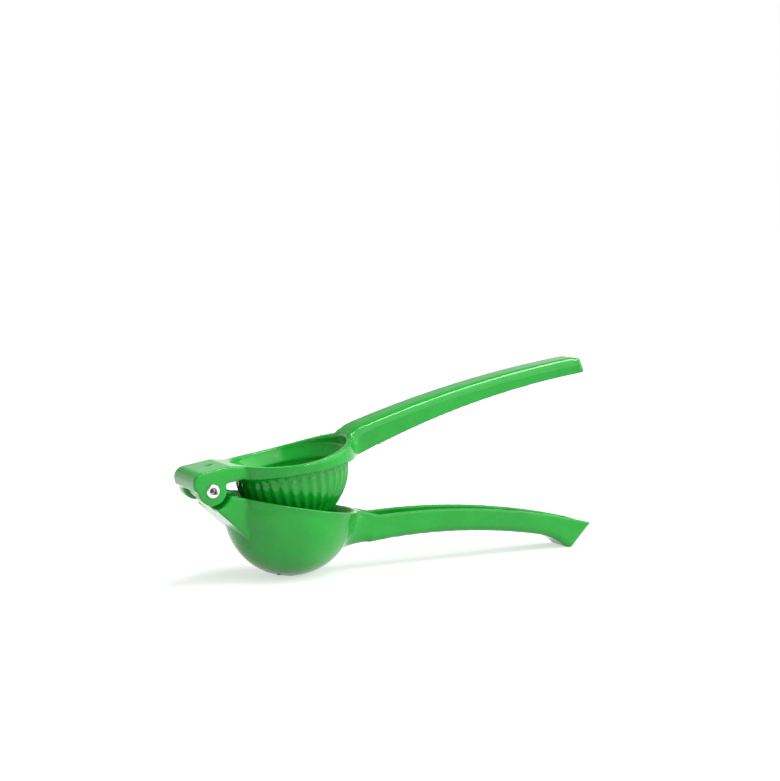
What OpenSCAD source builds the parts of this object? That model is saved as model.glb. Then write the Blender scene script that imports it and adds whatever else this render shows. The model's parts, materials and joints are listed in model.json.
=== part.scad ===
// Hinged lemon squeezer, cast in two arms that turn on one rivet.
// Each arm is drawn closed: the rivet's axis lies along Y through the origin, the handles point
// to +X and the bowl's rim is level. placed() and opened() then stand the tool on the table
// (Z = 0) on the bowl's underside and the hooked handle end, with the press arm raised.

/* [Pose] */
// Angle by which the press arm stands open, in degrees
open_angle = 20.2; // [0.2:0.1:95]

/* [Hinge] */
// Width over the two ears
hinge_w = 34; // [32:0.5:38]
// Width of the tongue that turns between the ears
tongue_w = 18; // [14:0.5:20]
// Gap between the tongue and each ear
side_gap = 0.35; // [0.2:0.05:0.6]
// Radius of the tongue's nose about the rivet
nose_r = 5.7; // [5:0.1:6]
// Radius of the ears about the rivet
ear_r = 7.3; // [6.8:0.1:8.5]
// Radius of the pockets that the ears turn in
pocket_r = 11.7; // [10:0.1:12.5]
// Slope of the flat belly that runs from the tongue's nose to the bowl, in degrees
belly_angle = 32.8; // [30:0.2:36]
// Height of the saddle's top over the rivet's axis
saddle_top = 10; // [9.5:0.1:11]
// Distance from the rivet's axis to the back of the saddle
saddle_back = 9.1; // [8.8:0.1:11]
// Diameter of the rivet's shank
rivet_d = 4.8; // [4:0.1:6]

/* [Bowl] */
// Distance from the rivet's axis to the axis of bowl and cup
bowl_x = 47; // [46:0.25:49]
// Outside radius of the round bowl
bowl_r = 33; // [32:0.25:34]
// Wall of the bowl
bowl_wall = 2.4; // [2:0.1:3]
// Depth of the bowl's centre below the rivet's axis
bowl_drop = 6; // [5.5:0.25:7]
// Height of the rim over the rivet's axis
rim_z = -1.35; // [-1.8:0.05:-1.3]
// How far the rim flares out past the round bowl
rim_flare = 1.8; // [1:0.1:2.2]
// Number of slots around the strainer's centre hole
slot_count = 8; // [4:4:12]
// Width of a strainer slot
slot_w = 3; // [2:0.1:3.4]

/* [Press cup] */
// Outside radius of the ring
ring_r = 33.3; // [32.5:0.1:34]
// Radius of the ring's mouth
mouth_r = 29.75; // [29:0.05:30.2]
// Lowest height of the ring's dished top over the rivet's axis
ring_top = 5.25; // [4.8:0.05:6]
// Radius of the fluted cup where it leaves the ring
cup_r = 28.3; // [27:0.1:28.6]
// Slope of the cup's side from the vertical, in degrees
cup_slope = 22; // [18:0.5:25]
// Wall of the cup
cup_wall = 2.4; // [2:0.1:3]
// Number of flutes around the cup
flute_count = 36; // [24:1:40]
// Depth of a flute
flute_depth = 0.8; // [0.4:0.1:1]

/* [Handles] */
// Width of both handles
handle_w = 20; // [18:0.5:22]
// Reach of both handles from the rivet's axis
reach = 215; // [205:1:220]
// Wall of both handle channels
channel_wall = 2.6; // [2:0.1:3.5]
// Radius of the upper handle's shoulders
shoulder_r = 4; // [2:0.1:4.4]
// Radius of the lower handle's bottom corners
corner_r = 3.5; // [2:0.1:4.2]

/* [Hidden] */
$fn = 96;
arc_fn = 720;

green = [0.16, 0.66, 0.24];
steel = [0.78, 0.79, 0.80];

// Side views are drawn as [x, z] and fill this height or length where nothing else limits them
far = 300;
// A round corner stands this far proud of the faces that it joins, so that it meets each of them
// in a clean edge, where a corner drawn just touching them would leave slivers
proud = 0.1;
// How much further a tool that cuts or limits a solid reaches than the solid itself
over = 1;

// Hinge
ear_inside = tongue_w / 2 + side_gap;
saddle_r = nose_r + 0.7;
saddle_under = 2;
saddle_corner_r = 5.5;
saddle_back_z = 1.7;
saddle_to_x = bowl_x - 0.7 * ring_r;
tongue_top = 1;
tongue_top_x = 12;
tongue_foot_x = 15.5;
root_end_x = bowl_x - 17;
shank_r = rivet_d / 2;
turn_fit = 0.05;
ear_fit = 0.02;
dimple_x = 4.9;
dimple_r = 2.75;
dimple_depth = 0.6;
dimple_ball_r = (dimple_r * dimple_r + dimple_depth * dimple_depth) / (2 * dimple_depth);

// Rivet: a rolled end on the -Y side, a low domed head on the +Y side
rolled_r = 3.55;
rolled_h = 1.02;
rolled_hole_r = 1.6;
rolled_hole_depth = 4;
head_r = 4;
head_h = 1.4;
head_edge = 0.5;
head_sag = head_h - head_edge;
dome_r = (head_r * head_r + head_sag * head_sag) / (2 * head_sag);

// Bowl: the rim flares on an arc that starts upright at the height of the bowl's centre
flare_h = rim_z + bowl_drop;
flare_r = (flare_h * flare_h + rim_flare * rim_flare) / (2 * rim_flare);
lip = 2;
hollow_r = bowl_r - bowl_wall;
strainer_hole_r = 2;
slot_from = 11;
slot_to = 20;
strainer_h = 20;

// Ring and cup
dish_r = 130;
dish_x = bowl_x - 1;
dish_from_x = 2.7;
ring_under_z = 1.25;
ring_under_x = 14;
ring_slope = 2.06;
ring_limit = 20;
cup_top_z = -1.5;
cap_from_z = -17;
cap_join_r = cup_r - (cup_top_z - cap_from_z) * tan(cup_slope);
cap_r = cap_join_r / cos(cup_slope);
cap_z = cap_from_z + cap_join_r * tan(cup_slope);
throat_z = 4;
throat_r = mouth_r - 0.25;
mouth_z = ring_top + 5;
wall_across = cup_wall / cos(cup_slope);
flute_r = 2.2;
flute_down = 1.9;
flute_run = 28;

// Concave corners, seen from above, where bowl and ring run into their handles
neck_fillet = 5;
neck_lap = 3;
low_neck_r = bowl_r + 0.6;

// Tools for both handles: the height of a bar before it is cut to its side view, and the length
// of the straight bar whose end is a handle's end face
bar_h = 30;
bar_reach = 360;

// Lower handle: its top and bottom are long arcs with their crowns at these points
low_top_r = 365;
low_top = [reach - 33, 8.9 - low_top_r];
low_under_r = 318;
low_under = [reach - 30, -2.3 - low_under_r];
kink = [bowl_x + 46.3, -2.1];
rim_to_x = bowl_x + 33;
bar_from_x = bowl_x + 15;
// Hook: a hollow arc turns the underside down to a round nose, and a flat end climbs to the tip
nose = [reach - 11.8, -2.4];
hook_r = 4.6;
hollow_arc_r = 33;
hollow_arc = [low_under[0], low_under[1] + low_under_r - hollow_arc_r];
hollow_angle = atan2(nose[1] - hollow_arc[1], nose[0] - hollow_arc[0]);
tip = [reach, low_top[1] + sqrt(pow(low_top_r, 2) - pow(reach - low_top[0], 2))];
tip_run = norm(tip - nose);
end_angle = atan2(tip[1] - nose[1], tip[0] - nose[0]) + asin(hook_r / tip_run);
channel_from = bowl_x + bowl_r + rim_flare + 2.7;
channel_to = reach - 10;
channel_floor = 3;

// Upper handle: long arcs again, a shorter arc down to the ring, and a rounded blunt end
top_r = 640;
top = [reach - 27, 22 - top_r];
under_r = 460;
under = [reach - 20, 13.3 - under_r];
neck_r = 28;
neck_x = bowl_x + 41;
neck_angle = acos((neck_x - top[0]) / top_r);
neck = top + (top_r - neck_r) * [cos(neck_angle), sin(neck_angle)];
blunt_r = 5;
blunt_x = reach - 6.7;
blunt_angle = acos((blunt_x - top[0]) / (top_r - blunt_r));
blunt = top + (top_r - blunt_r) * [cos(blunt_angle), sin(blunt_angle)];
blunt_lean = 12;
end_corner_r = 5;
neck_foot = 0.7;
neck_run = 6;
neck_rise = 0.15;
roof = 3;
roof_from = neck_x + 3;
roof_to = reach - 4;

// Stance: the lowest point of the bowl is ground to a small flat, level with the hook's nose
foot_r = 3.5;
foot_sag = bowl_r - sqrt(bowl_r * bowl_r - foot_r * foot_r);
stance = [nose[0] - bowl_x, nose[1] + bowl_drop];
tilt = asin((bowl_r - foot_sag - hook_r - proud) / norm(stance)) + atan2(stance[1], stance[0]);
centre_x = bowl_x * cos(tilt) - bowl_drop * sin(tilt);
centre_z = -bowl_x * sin(tilt) - bowl_drop * cos(tilt);

// ---- helpers ------------------------------------------------------------------------------

// Puts what is drawn in the hinge's frame where it stands on the table
module placed() {
    translate([-centre_x, 0, bowl_r - foot_sag - centre_z]) rotate([0, tilt, 0]) children();
}

// Turns what belongs to the press arm open about the rivet
module opened() {
    placed() rotate([0, -open_angle, 0]) children();
}

// Raises a side view into a slab of width w across the tool
module across(w) {
    rotate([90, 0, 0]) linear_extrude(w, center = true) children();
}

// The part of a side view between two distances from the rivet
module between(x0, x1) {
    translate([x0, -far]) square([x1 - x0, 2 * far]);
}

// Section through a bar of width w with two rounded corners, on the side of its larger x
// when outer is true, else on the side of its smaller x
module section(x0, x1, w, r, outer) {
    flat_from = outer ? x0 : x0 + r;
    round_x = outer ? x1 - r : x0 + r;
    intersection() {
        translate([x0, -w / 2]) square([x1 - x0, w]);
        union() {
            translate([flat_from, -w / 2]) square([x1 - x0 - r, w]);
            translate([round_x - r, -w / 2 + r]) square([2 * r, w - 2 * r]);
            for (side = [-1, 1])
                translate([round_x, side * (w / 2 - r)]) circle(r, $fn = 48);
        }
    }
}

// Sweeps a section, drawn as [radius, y], about a centre in the side view
module swept(centre, from, to) {
    translate([centre[0], 0, centre[1]]) rotate([90, 0, 0]) rotate([0, 0, from])
        rotate_extrude(angle = to - from, $fn = arc_fn) children();
}

// Runs a section straight through a point in the side view, its x to the right of the way
module straight(through, angle) {
    translate([through[0], 0, through[1]]) rotate([0, 90 - angle, 0])
        linear_extrude(bar_reach, center = true) children();
}

// Side view of what a round corner takes off, between two directions from its centre
module corner_waste(centre, r, from, to) {
    waste = 4 * r;
    translate(centre) difference() {
        polygon([[0, 0], waste * [cos(from), sin(from)],
                 waste * [cos(from) + cos(to), sin(from) + sin(to)], waste * [cos(to), sin(to)]]);
        circle(r + proud, $fn = 96);
    }
}

// Plan of the neck between a round body of radius r and its handle, with two concave corners
module neck_plan(r) {
    corner_y = handle_w / 2 + neck_fillet;
    corner_x = sqrt(pow(r + neck_fillet, 2) - corner_y * corner_y);
    touch = r / (r + neck_fillet);
    from_x = corner_x * touch - neck_lap;
    difference() {
        translate([from_x, -corner_y * touch]) square([corner_x - from_x, 2 * corner_y * touch]);
        for (side = [-1, 1])
            translate([corner_x, side * corner_y]) circle(neck_fillet, $fn = 64);
    }
}

// ---- lower arm ----------------------------------------------------------------------------

// Half section of the bowl's outside
module bowl_outline() {
    intersection() {
        translate([0, -bowl_drop]) circle(bowl_r, $fn = 200);
        translate([0, -bowl_drop - far]) square([far, far]);
    }
    difference() {
        translate([0, -bowl_drop]) square([bowl_r + rim_flare + over, flare_h]);
        translate([bowl_r + flare_r, -bowl_drop]) circle(flare_r, $fn = 200);
    }
}

// Half section of the bowl's inside, which opens out under the rim
module bowl_hollow() {
    lead_z = -bowl_drop + over;
    intersection() {
        translate([0, -bowl_drop]) circle(hollow_r, $fn = 200);
        translate([0, -bowl_drop - far]) square([far, far]);
    }
    polygon([[0, -bowl_drop - over], [0, over], [bowl_r + rim_flare - lip, over],
             [bowl_r + rim_flare - lip, rim_z], [hollow_r, lead_z], [hollow_r, -bowl_drop],
             [hollow_r - over, -bowl_drop], [hollow_r - over, -bowl_drop - over]]);
}

// Side view of everything on the upper side of the belly
module over_belly() {
    rotate(-belly_angle) translate([0, -nose_r]) square([far, far]);
}

// Full-width root of the hinge, which runs under the rim into the bowl
module root() {
    across(hinge_w) intersection() {
        over_belly();
        translate([0, rim_z - far]) square([root_end_x, far]);
    }
}

// Tongue that turns between the ears
module tongue() {
    across(tongue_w) {
        circle(nose_r, $fn = 128);
        intersection() {
            over_belly();
            polygon([[0, -far], [root_end_x, -far], [root_end_x, rim_z], [tongue_foot_x, rim_z],
                     [tongue_top_x, tongue_top], [0, tongue_top]]);
        }
    }
}

// Pockets on both sides of the tongue, in which the ears turn
module pockets() {
    pocket_w = hinge_w / 2 - tongue_w / 2 + over;
    for (side = [-1, 1])
        translate([0, side * (tongue_w / 2 + pocket_w / 2), 0])
            rotate([90, 0, 0]) cylinder(r = pocket_r, h = pocket_w, center = true, $fn = 160);
}

// Lower handle: one section carried along the long arc of its underside
module lower_bar() {
    swept(low_under, 90, 180)
        section(low_under_r, low_under_r + bar_h, handle_w, corner_r, false);
}

// Hook: the same section on a tighter arc, ended by a flat face and a round nose between the two
module hook() {
    end_face = nose + hook_r * [sin(end_angle), -cos(end_angle)];
    intersection() {
        swept(hollow_arc, 0, 90)
            section(hollow_arc_r, hollow_arc_r + bar_h, handle_w, corner_r, false);
        straight(end_face, end_angle)
            section(-bar_reach, 0, handle_w + 2 * proud, corner_r, true);
        across(handle_w + 2 * over) difference() {
            between(0, far);
            corner_waste(nose, hook_r, hollow_angle - 180, end_angle - 90);
        }
    }
}

// Side view of what lies under the lower arm's top
module under_low_top() {
    polygon([[bar_from_x, -far], kink - [0, far], kink, [rim_to_x, rim_z], [bar_from_x, rim_z]]);
    intersection() {
        translate(low_top) circle(low_top_r, $fn = arc_fn);
        between(kink[0], far);
    }
}

// Lower handle, open along its top
module lower_handle() {
    difference() {
        intersection() {
            union() {
                lower_bar();
                hook();
            }
            across(handle_w + 2 * over) under_low_top();
        }
        across(handle_w - 2 * channel_wall) difference() {
            between(channel_from, channel_to);
            translate(low_under) circle(low_under_r + channel_floor, $fn = arc_fn);
        }
    }
}

module lower_neck() {
    intersection() {
        translate([bowl_x, 0, -bar_h]) linear_extrude(bar_h + rim_z) neck_plan(low_neck_r);
        across(far) difference() {
            between(bowl_x, far);
            translate(low_under) circle(low_under_r + corner_r, $fn = arc_fn);
        }
    }
}

// Centre hole and radial slots in the bowl's bottom
module strainer() {
    cylinder(r = strainer_hole_r, h = strainer_h, center = true);
    for (i = [0 : slot_count - 1]) rotate((i + 0.5) * 360 / slot_count) {
        translate([slot_from + slot_w / 2, -slot_w / 2, -strainer_h / 2])
            cube([slot_to - slot_from - slot_w, slot_w, strainer_h]);
        for (x = [slot_from + slot_w / 2, slot_to - slot_w / 2])
            translate([x, 0, 0]) cylinder(d = slot_w, h = strainer_h, center = true);
    }
}

// Cuts the small flat at the bowl's lowest point as it stands
module foot_cut() {
    translate([bowl_x, 0, -bowl_drop]) rotate([0, -tilt, 0])
        translate([-2 * foot_r, -2 * foot_r, -bowl_r + foot_sag - over])
            cube([4 * foot_r, 4 * foot_r, over]);
}

module lower_arm() color(green) difference() {
    union() {
        translate([bowl_x, 0, 0]) rotate_extrude($fn = 200) bowl_outline();
        difference() {
            root();
            pockets();
        }
        tongue();
        lower_handle();
        lower_neck();
    }
    translate([bowl_x, 0, 0]) rotate_extrude($fn = 200) bowl_hollow();
    translate([bowl_x, 0, -bowl_drop - bowl_r]) strainer();
    foot_cut();
    rotate([90, 0, 0]) cylinder(r = shank_r + turn_fit, h = far, center = true, $fn = 64);
}

// ---- upper arm ----------------------------------------------------------------------------

// Height of the ring's flat underside at a distance x
function ring_under(x) = ring_under_z - (x - ring_under_x) * tan(ring_slope);

// Side view of what lies under ring and neck
module under_neck() {
    foot_x = bowl_x + ring_r - neck_foot;
    foot = [foot_x, ring_under(foot_x)];
    polygon([[-far, ring_under(-far)], foot, foot + neck_run * [1, neck_rise],
             foot + [neck_run, -far], [-far, -far]]);
}

// Ring, dished along the tool so that it is lowest over the bowl's axis
module ring() {
    intersection() {
        translate([bowl_x, 0, -far / 2]) cylinder(r = ring_r, h = far, $fn = 200);
        across(far) difference() {
            translate([-far, -far]) square([2 * far, far + ring_limit]);
            under_neck();
            translate([dish_x, ring_top + dish_r]) circle(dish_r, $fn = arc_fn);
        }
    }
}

// Half section of the cup's outside: a straight side, then a round bottom
module cup_outline() {
    intersection() {
        translate([0, cap_z]) circle(cap_r + proud, $fn = 200);
        translate([0, -far]) square([far, far + cap_z]);
    }
    polygon([[0, cap_from_z], [cap_join_r, cap_from_z], [cup_r, cup_top_z],
             [cup_r + (ring_under_z - cup_top_z) * tan(cup_slope), ring_under_z],
             [0, ring_under_z]]);
}

// Half section of the cup's inside, with the throat that narrows under the ring
module cup_hollow() {
    inner_r = cap_r - cup_wall;
    join_r = cap_join_r - wall_across;
    join_z = cap_z - sqrt(inner_r * inner_r - join_r * join_r);
    intersection() {
        translate([0, cap_z]) circle(inner_r + proud, $fn = 200);
        translate([0, -far]) square([far, far + cap_z]);
    }
    polygon([[0, join_z], [join_r, join_z], [cup_r - wall_across, cup_top_z],
             [throat_r, throat_z], [mouth_r, mouth_z], [mouth_r, ring_limit + over],
             [0, ring_limit + over]]);
}

// Half section of the ball-ended tool that cuts a flute
module flute_tool() {
    translate([0, -flute_run]) square([flute_r, flute_run]);
    intersection() {
        circle(flute_r, $fn = 32);
        square(flute_r);
    }
}

// Flutes: grooves with round tops under the ring, laid along the cup's side, which run out where
// its bottom curves away
module flutes() {
    axis_r = cup_r + (flute_r - flute_depth) / cos(cup_slope);
    for (i = [0 : flute_count - 1]) rotate((i + 0.5) * 360 / flute_count)
        translate([axis_r, 0, cup_top_z]) rotate([0, cup_slope, 0])
            translate([0, 0, -flute_down]) rotate_extrude($fn = 32) flute_tool();
}

module cup() {
    difference() {
        rotate_extrude($fn = 200) cup_outline();
        flutes();
    }
}

// Side view of the saddle over the tongue, and of the ears that hang from it
module saddle_side() {
    back = saddle_corner_r - saddle_back;
    translate([back, saddle_top - saddle_corner_r]) circle(saddle_corner_r);
    translate([back, saddle_under]) square([saddle_to_x - back, saddle_top - saddle_under]);
    translate([-saddle_back, saddle_back_z])
        square([saddle_back + over, saddle_top - saddle_corner_r - saddle_back_z]);
}

module saddle() {
    difference() {
        across(hinge_w) difference() {
            saddle_side();
            difference() {
                translate([dish_x, ring_top + dish_r]) circle(dish_r, $fn = arc_fn);
                between(-far, dish_from_x);
            }
        }
        rotate([90, 0, 0]) cylinder(r = saddle_r, h = 2 * ear_inside, center = true);
    }
}

module ears() {
    for (side = [-1, 1])
        translate([0, side * (ear_inside + hinge_w / 2) / 2, 0]) rotate([90, 0, 0])
            cylinder(r = ear_r, h = hinge_w / 2 - ear_inside, center = true);
}

// Upper handle: one section carried along the long arc of its top, then cut to its side view
module upper_bar() {
    end_face = blunt + blunt_r * [cos(blunt_lean), sin(blunt_lean)];
    intersection() {
        swept(top, 0, 180)
            section(top_r - bar_h, top_r, handle_w, shoulder_r, true);
        straight(end_face, blunt_lean - 90)
            section(0, bar_reach, handle_w + 2 * proud, end_corner_r, false);
        across(handle_w + 2 * over) difference() {
            union() {
                translate(neck) circle(neck_r + proud, $fn = 200);
                between(neck[0], far);
            }
            under_neck();
            translate(under) circle(under_r, $fn = arc_fn);
            corner_waste(blunt, blunt_r, blunt_lean, blunt_angle);
        }
    }
}

// Upper handle, hollow underneath
module upper_handle() {
    difference() {
        upper_bar();
        across(handle_w - 2 * channel_wall) intersection() {
            between(roof_from, roof_to);
            translate(top) circle(top_r - roof, $fn = arc_fn);
        }
    }
}

module upper_neck() {
    intersection() {
        translate([bowl_x, 0, -bar_h]) linear_extrude(2 * bar_h) neck_plan(ring_r);
        across(far) difference() {
            translate(neck) circle(neck_r - shoulder_r - 3 * proud, $fn = 200);
            under_neck();
        }
    }
}

module upper_arm() color(green) difference() {
    union() {
        translate([bowl_x, 0, 0]) cup();
        ring();
        saddle();
        ears();
        upper_handle();
        upper_neck();
    }
    translate([bowl_x, 0, 0]) rotate_extrude($fn = 200) cup_hollow();
    rotate([90, 0, 0]) cylinder(r = shank_r + ear_fit, h = far, center = true, $fn = 64);
    translate([dimple_x, 0, saddle_top - dimple_depth + dimple_ball_r]) sphere(dimple_ball_r);
}

// ---- rivet --------------------------------------------------------------------------------

// Half section of the rivet, with its length along y
module rivet_section() {
    translate([0, -hinge_w / 2 - head_edge / 2])
        square([shank_r, hinge_w + head_edge]);
    intersection() {
        translate([rolled_r - rolled_h, hinge_w / 2]) circle(rolled_h, $fn = 48);
        translate([0, hinge_w / 2]) square([rolled_r, rolled_h]);
    }
    intersection() {
        translate([0, dome_r - head_h - hinge_w / 2]) circle(dome_r, $fn = 200);
        translate([0, -hinge_w / 2 - head_h]) square([head_r, head_h]);
    }
}

module hinge_rivet() color(steel) rotate([90, 0, 0]) rotate_extrude($fn = 64) difference() {
    rivet_section();
    translate([0, hinge_w / 2 + rolled_h - rolled_hole_depth])
        square([rolled_hole_r, rolled_hole_depth + over]);
}

placed() lower_arm();
opened() upper_arm();
opened() hinge_rivet();
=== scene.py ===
import json
import math

import bmesh
import bpy
from mathutils import Matrix, Vector


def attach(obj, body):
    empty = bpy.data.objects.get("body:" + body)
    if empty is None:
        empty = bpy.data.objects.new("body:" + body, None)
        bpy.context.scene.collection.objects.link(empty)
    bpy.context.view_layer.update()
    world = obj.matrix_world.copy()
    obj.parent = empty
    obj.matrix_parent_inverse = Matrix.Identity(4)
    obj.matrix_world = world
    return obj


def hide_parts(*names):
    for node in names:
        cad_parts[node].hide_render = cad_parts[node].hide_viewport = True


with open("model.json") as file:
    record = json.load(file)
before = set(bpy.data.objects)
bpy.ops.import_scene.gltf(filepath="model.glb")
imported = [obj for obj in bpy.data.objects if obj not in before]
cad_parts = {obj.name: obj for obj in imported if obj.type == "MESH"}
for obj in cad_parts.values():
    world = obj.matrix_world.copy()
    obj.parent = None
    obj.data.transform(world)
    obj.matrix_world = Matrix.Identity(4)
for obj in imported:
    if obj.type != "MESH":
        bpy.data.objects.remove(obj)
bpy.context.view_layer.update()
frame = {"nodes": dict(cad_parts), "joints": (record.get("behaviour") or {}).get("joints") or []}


HINGE = Vector(frame["joints"][0]["pos_m"])


def add_object(name, data):
    """Adds an object to the scene."""
    obj = bpy.data.objects.new(name, data)
    bpy.context.scene.collection.objects.link(obj)
    return obj


# ---- castings ---------------------------------------------------------------------------------

# Each casting is shaped as it lies when the squeezer is closed: the hinge at zero, the handles
# along x, and z up. Then it leans about the hinge by these angles, in degrees
LOWER_LEAN = 11.686466
UPPER_LEAN = LOWER_LEAN - 20.2

# From the hinge to the middle of bowl and cup, and the width of both handles
BOWL_X = 0.047
HANDLE_W = 0.020

# Loose triangles meet where their corners are this close
MERGE_GAP = 0.000002

# Cell of a remeshed casting, and how often and how strongly its surface is relaxed. Together
# they round every cast edge to about a millimetre, as the mould and the enamel do
CAST_CELL = 0.00062
RELAX_STEPS = 3
RELAX_SHARE = 0.5

# Boxes round the corners where ring or bowl runs into its handle, and how often the casting is
# relaxed again inside them
UPPER_NECK = ((0.0790, -0.021, -0.006), (0.0920, 0.021, 0.012))
UPPER_NECK_STEPS = 12
LOWER_NECK = ((0.0725, -0.023, -0.028), (0.0900, 0.023, -0.004))
LOWER_NECK_STEPS = 180


def stand(lean):
    """Takes a place in a closed arm to where that place is on the arm as it stands."""
    return Matrix.Translation(HINGE) @ Matrix.Rotation(math.radians(lean), 4, "Y")


def closed_copy(node, name, lean):
    """A new object with a CAD node's mesh, its loose triangles joined up, laid as it closes."""
    mesh = frame["nodes"][node].data.copy()
    bm = bmesh.new()
    bm.from_mesh(mesh)
    bmesh.ops.remove_doubles(bm, verts=bm.verts, dist=MERGE_GAP)
    bmesh.ops.transform(bm, matrix=stand(lean).inverted(), verts=bm.verts)
    bm.to_mesh(mesh)
    bm.free()
    mesh.name = name
    return add_object(name, mesh)


def relax(bm, points, steps):
    """Draws points towards their neighbours, a number of times."""
    for _ in range(steps):
        bmesh.ops.smooth_vert(
            bm, verts=points, factor=RELAX_SHARE, use_axis_x=True, use_axis_y=True, use_axis_z=True
        )


def soften(obj, neck, neck_steps):
    """Remeshes a casting into even cells and relaxes them, so that its edges turn soft, and the
    cast corners inside the neck's box softer still."""
    remesh = obj.modifiers.new("even_cells", "REMESH")
    remesh.mode = "VOXEL"
    remesh.voxel_size = CAST_CELL
    bpy.context.view_layer.update()
    graph = bpy.context.evaluated_depsgraph_get()
    mesh = bpy.data.meshes.new_from_object(obj.evaluated_get(graph))
    obj.modifiers.clear()
    bm = bmesh.new()
    bm.from_mesh(mesh)
    relax(bm, bm.verts, RELAX_STEPS)
    low, high = neck
    inside = [p for p in bm.verts if all(low[k] < p.co[k] < high[k] for k in range(3))]
    relax(bm, inside, neck_steps)
    bmesh.ops.recalc_face_normals(bm, faces=bm.faces)
    for face in bm.faces:
        face.smooth = True
    bm.to_mesh(mesh)
    bm.free()
    mesh.name = obj.name
    obj.data = mesh


def reshape(obj, centre, change):
    """Moves a casting's points by a rule about a centre."""
    centre = Vector(centre)
    for point in obj.data.vertices:
        point.co = centre + change(point.co - centre)


# Cup: height and radius of the ball that it is swelled into
CUP_Z = -0.0014
BALL_R = 0.0289

# The cast cup: radius and slope of its straight side and how deep that goes, and the radius of
# its round bottom, whose middle lies this far under the ball's
SIDE_R = 0.02834
SIDE_SLOPE = math.radians(22)
SIDE_DEPTH = 0.0156
CAP_R = 0.02387
CAP_DROP = 0.0067

# The swelling starts at the height of the cup's root and is whole after this depth. What lies
# farther out than the last value is ring, and stays
ROOT_Z = 0.0006
ROOT_FADE = 0.0026
SWELL_WITHIN = 0.0306


def cup_reach(angle):
    """Distance from the ball's centre to the outside of the cast cup, at an angle under level."""
    side = SIDE_R * math.cos(SIDE_SLOPE) / math.cos(angle - SIDE_SLOPE)
    if side * math.sin(angle) < SIDE_DEPTH:
        return side
    drop = CAP_DROP * math.sin(angle)
    return drop + math.sqrt(drop * drop + CAP_R * CAP_R - CAP_DROP * CAP_DROP)


def fuller_cup(point):
    """Swells the press cup into a ball, which fades out at its root under the ring."""
    level = math.hypot(point.x, point.y)
    if point.z > ROOT_Z or level > SWELL_WITHIN:
        return point
    angle = max(math.atan2(-point.z, level), 0)
    share = min((ROOT_Z - point.z) / ROOT_FADE, 1)
    return point * (1 + share * (BALL_R / cup_reach(angle) - 1))


# Bowl: height of its middle. Within this angle of its lowest point the strainer is drawn
# together, to this share of its own angle, and the draw fades out by this power
BOWL_Z = -0.006
DRAWN_FROM = math.radians(58)
DRAWN_TO = 0.38
DRAWN_EASE = 5


def finer_strainer(point):
    """Draws the strainer's slots in towards the bowl's axis, along the round of the bowl."""
    level = math.hypot(point.x, point.y)
    angle = math.atan2(level, -point.z)
    if angle > DRAWN_FROM or level == 0:
        return point
    fade = (angle / DRAWN_FROM) ** DRAWN_EASE
    turned = angle * (DRAWN_TO + (1 - DRAWN_TO) * fade)
    out = math.sin(turned) * point.length / level
    return Vector((point.x * out, point.y * out, -math.cos(turned) * point.length))


# Pockets beside the tongue: their walls, cast at one radius about the rivet, are drawn in this
# far, and the draw fades out at a second radius
POCKET_R = 0.0117
POCKET_DRAW = 0.0023
POCKET_FADE_R = 0.0170

# The draw runs level along the rim, and turns to the belly's slope by this angle under the rim
POCKET_ANGLE = math.radians(62)
BELLY_SLOPE = math.radians(32.8)

# Half the tongue's width, and how far beside the tongue the draw reaches its full strength
TONGUE_SIDE = 0.0090
WALL_FOOT = 0.0005


def tighter_pocket(point):
    """Draws the walls of both pockets in towards the ears, along the rim and along the belly."""
    away = math.hypot(point.x, point.z)
    side = abs(point.y) - TONGUE_SIDE
    if point.x < 0 or side < 0 or away > POCKET_FADE_R:
        return point
    below = max(math.atan2(-point.z, point.x), 0)
    slope = BELLY_SLOPE * min(below / POCKET_ANGLE, 1)
    fade = min((POCKET_FADE_R - away) / (POCKET_FADE_R - POCKET_R), 1)
    draw = POCKET_DRAW * fade * min(side / WALL_FOOT, 1)
    return point + draw * Vector((-math.cos(slope), 0, math.sin(slope)))


# Upper handle's end: the place midway between its two upright corners, the angle by which it
# leans back, the radius that the corners are cast with, and the share of it that they keep.
# What lies nearer to a corner's middle than the last value stays, so the hollow keeps its shape
END_CENTRE = Vector((0.2083, 0, 0.0165))
END_LEAN = math.radians(12)
END_R = 0.005
END_SHARE = 0.5
SKIN_FROM = 0.0036


def corner_reach(cosine, sine):
    """How far the filled corner reaches in a direction, in cast radii: flat sides, and between
    them an arc of the smaller radius."""
    inner = 1 - END_SHARE
    reach = 1 / max(cosine, sine)
    if reach * min(cosine, sine) <= inner:
        return reach
    middle = inner * (cosine + sine)
    return middle + math.sqrt(middle * middle - 2 * inner * inner + END_SHARE * END_SHARE)


def squarer_end(point):
    """Fills out the two upright corners at the upper handle's end."""
    along = Vector((math.cos(END_LEAN), 0, math.sin(END_LEAN)))
    ahead = (point - END_CENTRE).dot(along)
    side = abs(point.y) - (HANDLE_W / 2 - END_R)
    out = math.hypot(ahead, side)
    if min(ahead, side) <= 0 or out < SKIN_FROM:
        return point
    fade = min((out - SKIN_FROM) / (END_R - SKIN_FROM), 1)
    more = (corner_reach(ahead / out, side / out) - 1) * fade
    return point + more * (ahead * along + Vector((0, math.copysign(side, point.y), 0)))


# ---- materials --------------------------------------------------------------------------------

# Bands of a pattern's values that a tint or a roughness is spread over, and a mask's whole range
WIDE_BAND = (0.3, 0.7)
NARROW_BAND = (0.35, 0.65)
WHOLE = (0.0, 1.0)

# Each pattern's scale, detail and roughness
CLOUDS = (45.0, 3.0, 0.5)
MOTTLE = (420.0, 2.0, 0.5)
PEEL = (520.0, 1.5, 0.4)
PITS = (1900.0, 2.0, 0.6)
GRAIN = (1500.0, 3.0, 0.5)

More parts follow.
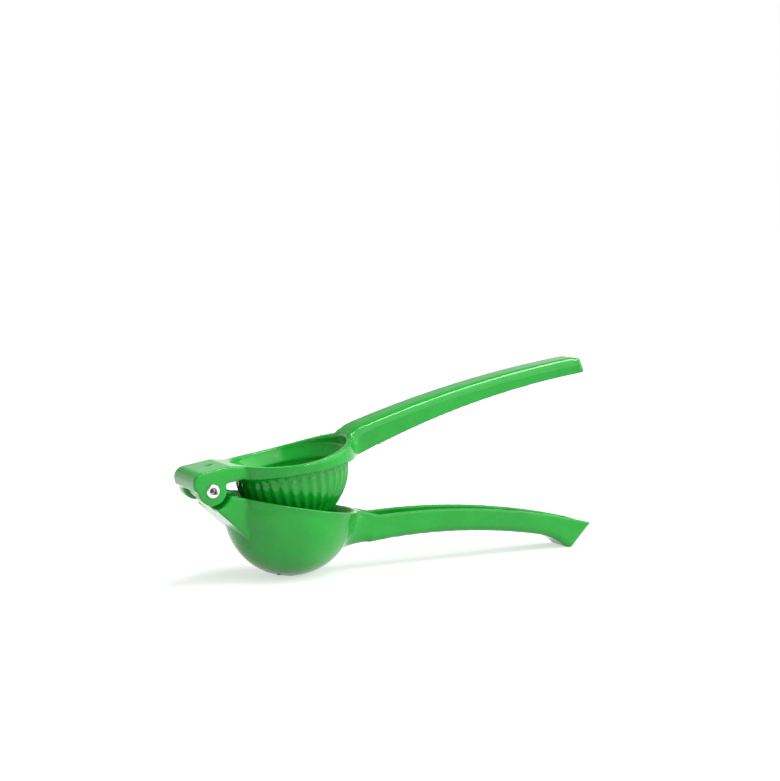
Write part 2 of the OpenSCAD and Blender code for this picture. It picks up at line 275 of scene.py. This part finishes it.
# Enamel: its green where the coat is thick and thin, how much of that is clouds and how much
# mottle, and its roughness
THICK_GREEN = (0.006, 0.350, 0.026, 1)
THIN_GREEN = (0.010, 0.440, 0.038, 1)
CLOUD_SHARE = 0.7
MOTTLE_SHARE = 0.3
ENAMEL_ROUGH = (0.09, 0.14)
ENAMEL_IOR = 1.45

# Strength and depth of the orange peel and of the pits, and the band of values of a pit's edge
PEEL_STRENGTH = 0.06
PEEL_DEPTH = 0.0004
PIT_STRENGTH = 0.06
PIT_DEPTH = 0.0001
PIT_BAND = (0.24, 0.42)

# Rivet: the two greys of its steel, the grey of the shade painted into its hole, the roughness in
# the hole and outside it, and the strength and depth of its grain
DULL_STEEL = (0.62, 0.62, 0.64, 1)
BRIGHT_STEEL = (0.74, 0.74, 0.75, 1)
PAINTED_HOLE_SHADE = (0.10, 0.10, 0.11, 1)
RIVET_ROUGH = (0.45, 0.16)
GRAIN_STRENGTH = 0.05
GRAIN_DEPTH = 0.00002

# Radius of the blind hole in the rivet's rolled end, and of the painted shade at its dark middle.
# The shade is painted by distance from the hinge's axis, so the far domed head gets the same
# painted dark middle
RIVET_HOLE_R = 0.0017
PAINTED_SHADE_R = 0.0009


def node_of(tree, kind, **settings):
    """Adds a node and makes its settings."""
    node = tree.nodes.new(kind)
    for key, value in settings.items():
        setattr(node, key, value)
    return node


def put(node, **values):
    """Sets a node's inputs, with spaces in their names written as underscores."""
    for key, value in values.items():
        node.inputs[key.replace("_", " ")].default_value = value
    return node


def reckon(tree, operation, *values):
    """Adds a Math node on values that come from other nodes or are plain numbers."""
    node = node_of(tree, "ShaderNodeMath", operation=operation)
    for place, value in zip(node.inputs, values):
        if isinstance(value, bpy.types.NodeSocket):
            tree.links.new(value, place)
        else:
            place.default_value = value
    return node.outputs[0]


def finish_group(name):
    """An empty group for a finish, with the colour, roughness and normal that it puts out."""
    group = bpy.data.node_groups.new(name, "ShaderNodeTree")
    group.interface.new_socket("Colour", in_out="OUTPUT", socket_type="NodeSocketColor")
    group.interface.new_socket("Roughness", in_out="OUTPUT", socket_type="NodeSocketFloat")
    group.interface.new_socket("Normal", in_out="OUTPUT", socket_type="NodeSocketVector")
    return group, group.nodes.new("NodeGroupOutput")


def noise(group, coordinates, pattern):
    """A noise pattern, from its scale, detail and roughness."""
    scale, detail, roughness = pattern
    texture = node_of(group, "ShaderNodeTexNoise")
    put(texture, Scale=scale, Detail=detail, Roughness=roughness)
    group.links.new(coordinates, texture.inputs["Vector"])
    return texture.outputs["Fac"]


def ramp(tree, value, band, result):
    """Maps a band of values to another, and holds it there."""
    change = node_of(tree, "ShaderNodeMapRange")
    put(change, From_Min=band[0], From_Max=band[1], To_Min=result[0], To_Max=result[1])
    tree.links.new(value, change.inputs["Value"])
    return change.outputs["Result"]


def bump(group, height, strength, depth):
    """A Bump node that raises the surface by a height pattern."""
    surface = put(node_of(group, "ShaderNodeBump"), Strength=strength, Distance=depth)
    group.links.new(height, surface.inputs["Height"])
    return surface


def enamel_skin():
    """Colour, roughness and surface of fired green enamel on a casting: clouds of thicker and
    thinner coat, an orange-peel skin, and the odd fine pit."""
    group, end = finish_group("enamel_skin")
    place = node_of(group, "ShaderNodeTexCoord").outputs["Object"]
    clouds = noise(group, place, CLOUDS)
    mottle = noise(group, place, MOTTLE)
    peel = noise(group, place, PEEL)
    fine = noise(group, place, PITS)

    tint = put(node_of(group, "ShaderNodeMix", data_type="RGBA"), A=THICK_GREEN, B=THIN_GREEN)
    spots = ramp(group, mottle, WIDE_BAND, WHOLE)
    drifts = ramp(group, clouds, NARROW_BAND, (0.0, CLOUD_SHARE))
    thin = reckon(group, "MULTIPLY_ADD", spots, MOTTLE_SHARE, drifts)
    group.links.new(thin, tint.inputs["Factor"])
    group.links.new(tint.outputs["Result"], end.inputs["Colour"])
    group.links.new(ramp(group, clouds, WIDE_BAND, ENAMEL_ROUGH), end.inputs["Roughness"])

    skin = bump(group, peel, PEEL_STRENGTH, PEEL_DEPTH)
    pits = bump(group, ramp(group, fine, PIT_BAND, WHOLE), PIT_STRENGTH, PIT_DEPTH)
    group.links.new(skin.outputs["Normal"], pits.inputs["Normal"])
    group.links.new(pits.outputs["Normal"], end.inputs["Normal"])
    return group


def turned_steel():
    """Colour, roughness and surface of a bright plated rivet. It is rougher inside its blind hole,
    where shade is painted in as a dark grey.
    """
    group, end = finish_group("turned_steel")
    coordinates = node_of(group, "ShaderNodeTexCoord")
    centre = put(node_of(group, "ShaderNodeMapping"), Location=-HINGE)
    group.links.new(coordinates.outputs["Object"], centre.inputs["Vector"])
    across = node_of(group, "ShaderNodeVectorMath", operation="MULTIPLY")
    across.inputs[1].default_value = (1, 0, 1)
    group.links.new(centre.outputs["Vector"], across.inputs[0])
    radius = node_of(group, "ShaderNodeVectorMath", operation="LENGTH")
    group.links.new(across.outputs["Vector"], radius.inputs[0])
    outside = ramp(group, radius.outputs["Value"], (PAINTED_SHADE_R, RIVET_HOLE_R), WHOLE)
    grain = noise(group, centre.outputs["Vector"], GRAIN)

    bright = put(node_of(group, "ShaderNodeMix", data_type="RGBA"), A=DULL_STEEL, B=BRIGHT_STEEL)
    group.links.new(ramp(group, grain, NARROW_BAND, WHOLE), bright.inputs["Factor"])
    # Painted shade: near the hinge's axis the steel is darkened to grey, as if the hole were in
    # shadow, at both ends of the rivet
    tint = put(node_of(group, "ShaderNodeMix", data_type="RGBA"), A=PAINTED_HOLE_SHADE)
    group.links.new(outside, tint.inputs["Factor"])
    group.links.new(bright.outputs["Result"], tint.inputs["B"])
    group.links.new(tint.outputs["Result"], end.inputs["Colour"])
    group.links.new(ramp(group, outside, WHOLE, RIVET_ROUGH), end.inputs["Roughness"])
    surface = bump(group, grain, GRAIN_STRENGTH, GRAIN_DEPTH)
    group.links.new(surface.outputs["Normal"], end.inputs["Normal"])
    return group


def finish_from(name, group, **constants):
    """A material whose colour, roughness and normal come from a group, with plain constants."""
    material = bpy.data.materials.new(name)
    material.use_nodes = True
    tree = material.node_tree
    shader = tree.nodes["Principled BSDF"]
    put(shader, **constants)
    effect = node_of(tree, "ShaderNodeGroup", node_tree=group)
    tree.links.new(effect.outputs["Colour"], shader.inputs["Base Color"])
    tree.links.new(effect.outputs["Roughness"], shader.inputs["Roughness"])
    tree.links.new(effect.outputs["Normal"], shader.inputs["Normal"])
    return material


def coat(obj, material):
    """Gives an object one material, in place of those it has."""
    obj.data.materials.clear()
    obj.data.materials.append(material)


enamel = finish_from("green_enamel", enamel_skin(), Metallic=0.0, IOR=ENAMEL_IOR)
steel = finish_from("rivet_steel", turned_steel(), Metallic=1.0)


# ---- the squeezer -----------------------------------------------------------------------------

upper = closed_copy("upper_arm", "upper_casting", UPPER_LEAN)
soften(upper, UPPER_NECK, UPPER_NECK_STEPS)
reshape(upper, (BOWL_X, 0, CUP_Z), fuller_cup)
reshape(upper, (0, 0, 0), squarer_end)
upper.data.transform(stand(UPPER_LEAN))

lower = closed_copy("lower_arm", "lower_casting", LOWER_LEAN)
soften(lower, LOWER_NECK, LOWER_NECK_STEPS)
reshape(lower, (0, 0, 0), tighter_pocket)
reshape(lower, (BOWL_X, 0, BOWL_Z), finer_strainer)
lower.data.transform(stand(LOWER_LEAN))

# The bowl and the hook stand on the table, and no point of them goes below it
for point in lower.data.vertices:
    point.co.z = max(point.co.z, 0)

for casting, cad_node, body in ((lower, "lower_arm", "lower"), (upper, "upper_arm", "upper")):
    coat(casting, enamel)
    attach(casting, body)
    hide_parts(cad_node)

coat(frame["nodes"]["hinge_rivet"], steel)


# ---- table, light and camera ------------------------------------------------------------------

WHITE = (1, 1, 1, 1)

# Table: half its width, its own white and roughness, and the glow that makes it up to full white
TABLE_HALF = 6.0
TABLE_WHITE = (0.60, 0.60, 0.60, 1)
TABLE_ROUGH = 0.9
TABLE_GLOW = 0.60

# Strength of the soft light from all around, and of the ceiling as gloss shows it. The ceiling
# sets in over this band of heights, where level is zero and straight up is one
ALL_AROUND = 0.35
CEILING = 0.35
CEILING_BAND = (0.11, 0.30)

# The bright side of the sky: the way to its middle, its strength, and its width in degrees
SKY_SIDE = (0.90, -0.80, 0.75)
SKY_STRENGTH = 2.8
SKY_WIDTH = 95

# A long narrow lamp overhead: its place, where it points, its size, and its power in watts
LAMP_PLACE = (0.34, -0.13, 1.25)
LAMP_AIM = (0.12, 0, 0.06)
LAMP_SIZE = (1.15, 0.07)
LAMP_POWER = 10

# The camera stands this far from the hinge, in metres, and looks this way, in degrees. The last
# angle swings it about the hinge
CAMERA_FROM_HINGE = Vector((-0.2903, -0.9387, 0.1413))
CAMERA_AZIMUTH = -22.68
CAMERA_ELEVATION = 5.64
CAMERA_ROLL = -2.02
CAMERA_TURN = -0.194

# Width of its sensor in millimetres, and its focal length in widths of the sensor
SENSOR_WIDTH = 36
FOCAL_WIDTHS = 2000 / 780


def camera_glow(tree, shader, strength):
    """Adds a white glow that only the camera, mirrors and clear glass see."""
    path = node_of(tree, "ShaderNodeLightPath").outputs
    seen = reckon(tree, "ADD", path["Is Camera Ray"], path["Is Glossy Ray"])
    seen = reckon(tree, "ADD", seen, path["Is Transmission Ray"])
    glow = put(node_of(tree, "ShaderNodeEmission"), Color=WHITE)
    tree.links.new(reckon(tree, "MULTIPLY", seen, strength), glow.inputs["Strength"])
    both = node_of(tree, "ShaderNodeAddShader")
    tree.links.new(shader, both.inputs[0])
    tree.links.new(glow.outputs[0], both.inputs[1])
    return both.outputs[0]


def make_table():
    """A wide white table top that keeps the squeezer's shadow."""
    mesh = bpy.data.meshes.new("table_top")
    bm = bmesh.new()
    bmesh.ops.create_grid(bm, x_segments=1, y_segments=1, size=TABLE_HALF)
    bm.to_mesh(mesh)
    bm.free()
    table = add_object("table_top", mesh)
    material = bpy.data.materials.new("white_table")
    material.use_nodes = True
    tree = material.node_tree
    shader = tree.nodes["Principled BSDF"]
    put(shader, Base_Color=TABLE_WHITE, Roughness=TABLE_ROUGH, Specular_IOR_Level=0.0)
    surface = camera_glow(tree, shader.outputs[0], TABLE_GLOW)
    tree.links.new(surface, tree.nodes["Material Output"].inputs["Surface"])
    coat(table, material)


def make_world():
    """A white room. Gloss shows its wall, and above that a ceiling that gets little light."""
    world = bpy.data.worlds.new("studio")
    world.use_nodes = True
    tree = world.node_tree
    background = put(tree.nodes["Background"], Color=WHITE)
    path = node_of(tree, "ShaderNodeLightPath").outputs
    seen = reckon(tree, "ADD", path["Is Camera Ray"], path["Is Transmission Ray"])
    place = node_of(tree, "ShaderNodeTexCoord")
    parts = node_of(tree, "ShaderNodeSeparateXYZ")
    tree.links.new(place.outputs["Generated"], parts.inputs["Vector"])
    room = ramp(tree, parts.outputs["Z"], CEILING_BAND, (1.0, CEILING))
    seen = reckon(tree, "MULTIPLY_ADD", path["Is Glossy Ray"], room, seen)
    level = reckon(tree, "MAXIMUM", seen, ALL_AROUND)
    tree.links.new(level, background.inputs["Strength"])
    bpy.context.scene.world = world


def softbox(name, place, aim, size, power):
    """A flat lamp that points at a place."""
    light = bpy.data.lights.new(name, "AREA")
    light.shape = "RECTANGLE"
    light.size, light.size_y = size
    light.energy = power
    obj = add_object(name, light)
    obj.location = place
    obj.rotation_euler = (Vector(aim) - Vector(place)).to_track_quat("-Z", "Y").to_euler()


def soft_sun(name, direction, strength, width):
    """An even light from one side of the sky, as wide as an angle in degrees."""
    light = bpy.data.lights.new(name, "SUN")
    light.energy = strength
    light.angle = math.radians(width)
    obj = add_object(name, light)
    obj.rotation_euler = Vector(direction).to_track_quat("Z", "Y").to_euler()


def make_camera():
    """The camera, which looks a little down on the squeezer from beside its hinge."""
    az, el, roll = (math.radians(v) for v in (CAMERA_AZIMUTH, CAMERA_ELEVATION, CAMERA_ROLL))
    back = Vector((math.sin(az) * math.cos(el), -math.cos(az) * math.cos(el), math.sin(el)))
    right = Vector((math.cos(az), math.sin(az), 0))
    up = back.cross(right)
    side = right * math.cos(roll) + up * math.sin(roll)
    top = up * math.cos(roll) - right * math.sin(roll)
    turn = Matrix.Rotation(math.radians(CAMERA_TURN), 3, "Y")
    axes = turn @ Matrix((side, top, back)).transposed()
    data = bpy.data.cameras.new("camera")
    data.sensor_fit = "HORIZONTAL"
    data.sensor_width = SENSOR_WIDTH
    data.lens = SENSOR_WIDTH * FOCAL_WIDTHS
    camera = add_object("camera", data)
    camera.matrix_world = Matrix.Translation(HINGE + turn @ CAMERA_FROM_HINGE) @ axes.to_4x4()
    bpy.context.scene.camera = camera


make_table()
make_world()
soft_sun("front_sky", SKY_SIDE, SKY_STRENGTH, SKY_WIDTH)
softbox("overhead", LAMP_PLACE, LAMP_AIM, LAMP_SIZE, LAMP_POWER)
make_camera()
bpy.context.scene.view_settings.view_transform = "Standard"
